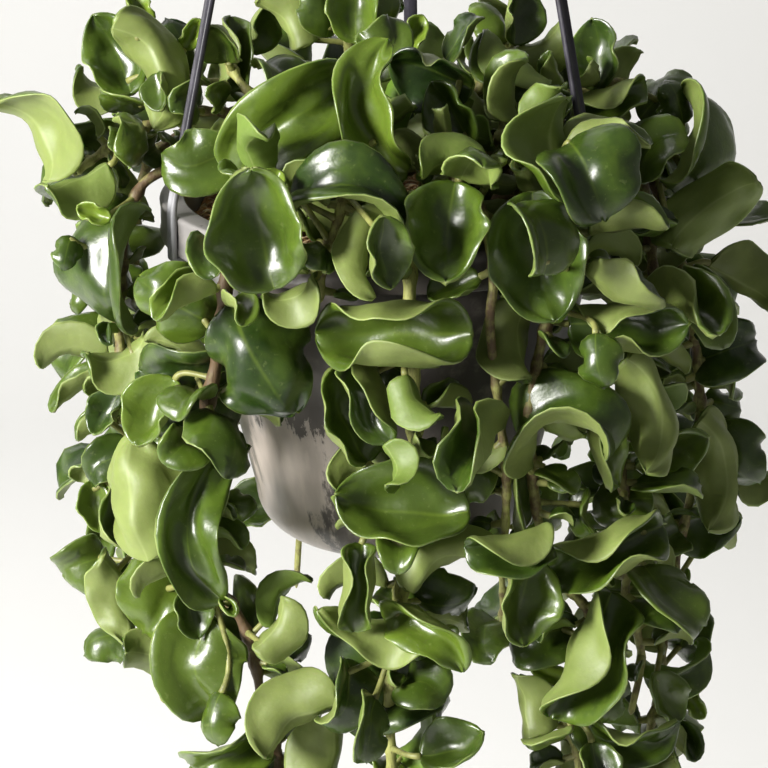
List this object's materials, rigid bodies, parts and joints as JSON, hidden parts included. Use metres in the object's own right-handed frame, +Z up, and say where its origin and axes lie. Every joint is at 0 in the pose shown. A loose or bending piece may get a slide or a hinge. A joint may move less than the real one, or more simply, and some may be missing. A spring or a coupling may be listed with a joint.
{
  "type": "hanging potted hindu rope plant",
  "caption": "Trailing curly-leaved hindu rope plant in a round flared plastic pot on a three-armed hanger with a hook.",
  "frame": {"origin": "inside top of the hook's bend, where the hanger rests on what holds it up", "axes": "+Z up along the pot's axis, -Y towards the viewer of the picture, +X to the viewer's right"},
  "size_m": [0.3358, 0.3068, 0.7823],
  "materials": {
    "pot_plastic": "grey-beige moulded plastic with a soft sheen",
    "soil": "dry brown fibrous potting mix",
    "hanger_plastic": "dark grey moulded plastic",
    "leaf": "thick waxy green leaves, glossy above and pale and matte below"
  },
  "bodies": {
    "root": {"hanger_arm_back": "hanger_plastic", "hanger_arm_left": "hanger_plastic", "hanger_arm_right": "hanger_plastic", "hanger_hub": "hanger_plastic", "pot": "pot_plastic", "soil": "soil", "stem_back_left": "leaf", "stem_back_right": "leaf", "stem_centre_right": "leaf", "stem_crown_centre": "leaf", "stem_crown_far_right": "leaf", "stem_crown_front_right": "leaf", "stem_crown_left": "leaf", "stem_crown_left_front": "leaf", "stem_crown_midleft": "leaf", "stem_crown_right": "leaf", "stem_crown_right_front": "leaf", "stem_crown_top": "leaf", "stem_crown_topright": "leaf", "stem_crown_upleft": "leaf", "stem_front": "leaf", "stem_left_back": "leaf", "stem_left_front": "leaf", "stem_left_outer": "leaf", "stem_right_back": "leaf", "stem_right_front": "leaf", "stem_right_mid": "leaf", "stem_right_outer": "leaf"}
  },
  "joints": []
}
